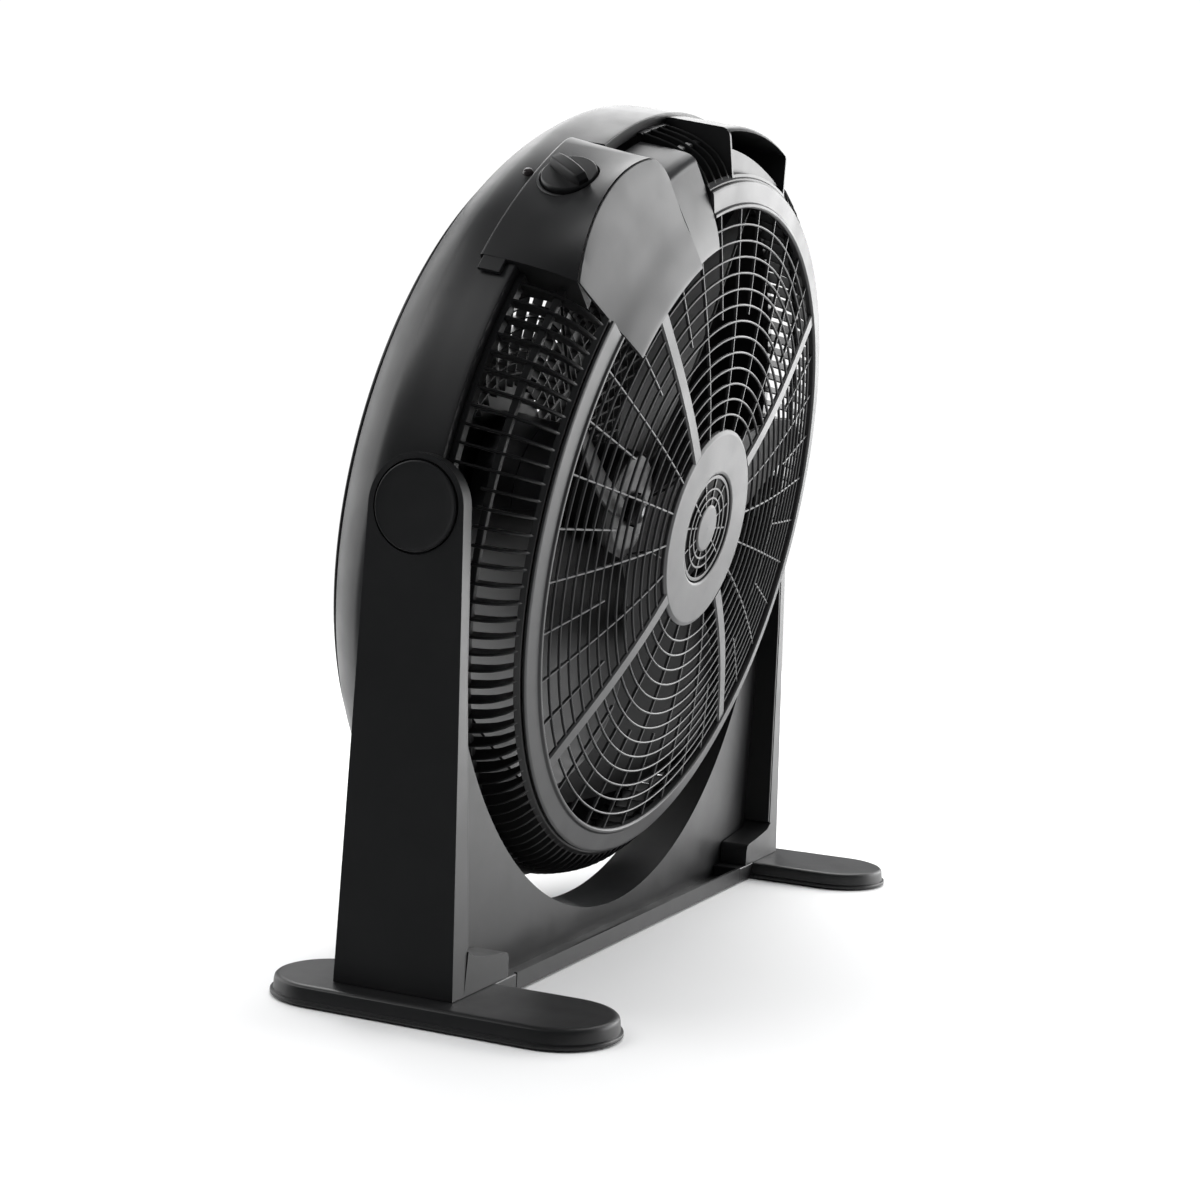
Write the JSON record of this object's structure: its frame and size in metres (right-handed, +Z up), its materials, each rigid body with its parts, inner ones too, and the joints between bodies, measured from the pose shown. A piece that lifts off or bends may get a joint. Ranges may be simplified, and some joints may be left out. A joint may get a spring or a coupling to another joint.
{
  "type": "floor fan",
  "caption": "Round floor fan with a side cage and guard, tilting between two posts of a cradle stand, with a top handle and a rotary speed switch.",
  "frame": {"origin": "floor under the middle of the object's bounding box", "axes": "+X to the right seen from the front, -Y to the front, +Z up"},
  "size_m": [0.612, 0.2529, 0.5701],
  "materials": {
    "housing_plastic": "fine moulded texture, satin",
    "grille_plastic": "satin",
    "black_plastic": "satin",
    "black_rubber": "matt",
    "zinc_steel": "zinc plated",
    "motor_alloy": "cast, dull",
    "core_steel": "laminated",
    "copper_winding": "enamelled copper wire",
    "lamp_lens": "clear, dark tinted"
  },
  "bodies": {
    "stand": {"left_foot": "housing_plastic", "right_foot": "housing_plastic", "left_front_pad": "black_rubber", "left_rear_pad": "black_rubber", "right_front_pad": "black_rubber", "right_rear_pad": "black_rubber", "left_post_shell": "housing_plastic", "right_post_shell": "housing_plastic", "left_post_cover": "black_plastic", "right_post_cover": "black_plastic", "cradle_panel": "housing_plastic", "left_foot_screw_front": "zinc_steel", "left_foot_screw_rear": "zinc_steel", "right_foot_screw_front": "zinc_steel", "right_foot_screw_rear": "zinc_steel", "left_cradle_screw": "zinc_steel", "right_cradle_screw": "zinc_steel", "left_pivot_cap": "black_plastic", "right_pivot_cap": "black_plastic", "left_pivot_bolt": "zinc_steel", "right_pivot_bolt": "zinc_steel", "left_pivot_washer": "black_rubber", "right_pivot_washer": "black_rubber"},
    "head": {"housing_ring": "housing_plastic", "side_cage": "black_plastic", "front_grille": "grille_plastic", "hub_insert": "grille_plastic", "rear_grille": "black_plastic", "control_box": "housing_plastic", "front_cover": "grille_plastic", "carry_handle": "housing_plastic", "pilot_lamp": "lamp_lens", "left_pivot_block": "black_plastic", "right_pivot_block": "black_plastic", "rear_grille_screw_1": "zinc_steel", "rear_grille_screw_2": "zinc_steel", "rear_grille_screw_3": "zinc_steel", "rear_grille_screw_4": "zinc_steel", "cord_gland": "black_rubber", "rotary_switch": "black_plastic", "run_capacitor": "motor_alloy", "motor_rear_housing": "motor_alloy", "motor_front_housing": "motor_alloy", "stator": "copper_winding", "rear_bearing": "zinc_steel", "front_bearing": "zinc_steel", "motor_screw_1": "zinc_steel", "motor_screw_2": "zinc_steel", "motor_screw_3": "zinc_steel"},
    "rotor": {"rotor_shaft": "zinc_steel", "rotor_core": "core_steel", "impeller": "black_plastic", "spinner_nut": "black_plastic"},
    "knob": {"speed_knob": "black_plastic", "switch_shaft": "zinc_steel"}
  },
  "joints": [
    {"name": "head_tilt", "type": "hinge", "parent": "stand", "child": "head", "pos_m": [0, 0.0115, 0.2985], "axis": [-1, 0, 0], "range_deg": [-10, 80]},
    {"name": "fan_spin", "type": "hinge", "parent": "head", "child": "rotor", "pos_m": [0, 0.0115, 0.2985], "axis": [0, -0.9856, -0.1692], "continuous": true},
    {"name": "knob_turn", "type": "hinge", "parent": "head", "child": "knob", "pos_m": [-0.18156, -0.02617, 0.50025], "axis": [-0.6626, -0.1267, 0.7382], "range_deg": [-135, 0]}
  ]
}
